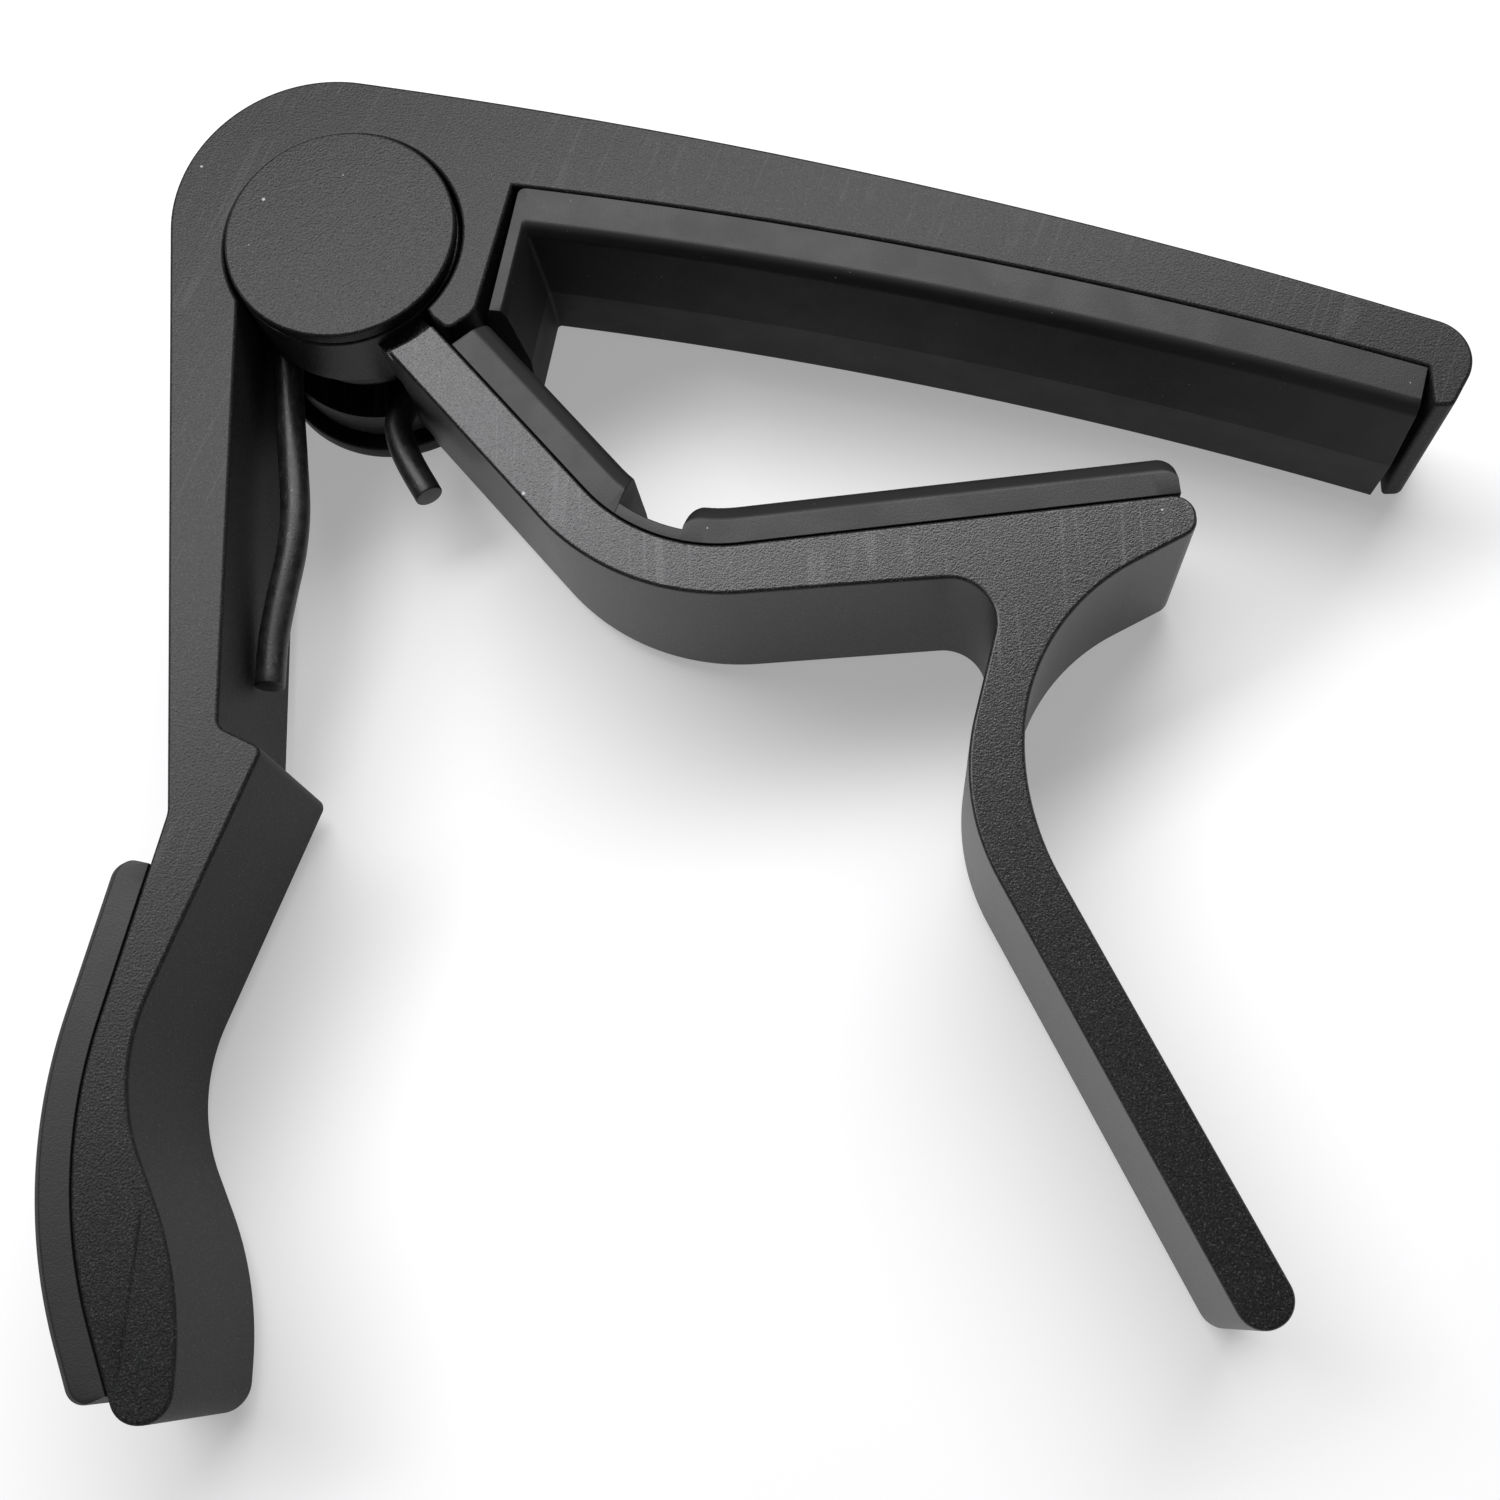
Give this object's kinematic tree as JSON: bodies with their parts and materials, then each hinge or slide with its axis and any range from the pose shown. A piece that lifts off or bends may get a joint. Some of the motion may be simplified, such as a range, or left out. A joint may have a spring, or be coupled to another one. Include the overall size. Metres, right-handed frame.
{
  "type": "guitar capo",
  "caption": "Spring-loaded trigger clamp: a rubber-lined bar presses a guitar's strings, a padded jaw grips the back of the neck, and two squeeze handles open it.",
  "frame": {"origin": "on the hinge axis, at the outer face of the rear cap, which the capo lies on", "axes": "+Z along the hinge, up from the surface the capo lies on; +X towards the free end of the fret bar; +Y away from the squeeze handles"},
  "size_m": [0.0901, 0.0901, 0.0159],
  "materials": {
    "metal": "black anodised, bead-blasted satin",
    "pad_rubber": "satin moulded",
    "grip_rubber": "satin moulded",
    "pin_steel": "turned",
    "nylon": "matte",
    "spring_steel": "blackened, glossy with oil"
  },
  "bodies": {
    "frame_body": {"frame": "metal", "fret_pad": "pad_rubber", "thumb_grip": "grip_rubber", "torsion_spring": "spring_steel"},
    "lever_body": {"lever": "metal", "neck_pad": "pad_rubber", "pivot_pin": "pin_steel", "spring_spacer": "nylon", "front_cap": "metal", "rear_cap": "metal", "rear_washer": "nylon"}
  },
  "joints": [
    {"name": "lever_pivot", "type": "hinge", "parent": "frame_body", "child": "lever_body", "pos_m": [0, 0, 0.00835], "axis": [0, 0, -1], "range_deg": [0, 34], "stiffness_Nm_per_rad": 0.9, "springref_deg": -34.38, "deforming": ["torsion_spring"]}
  ]
}
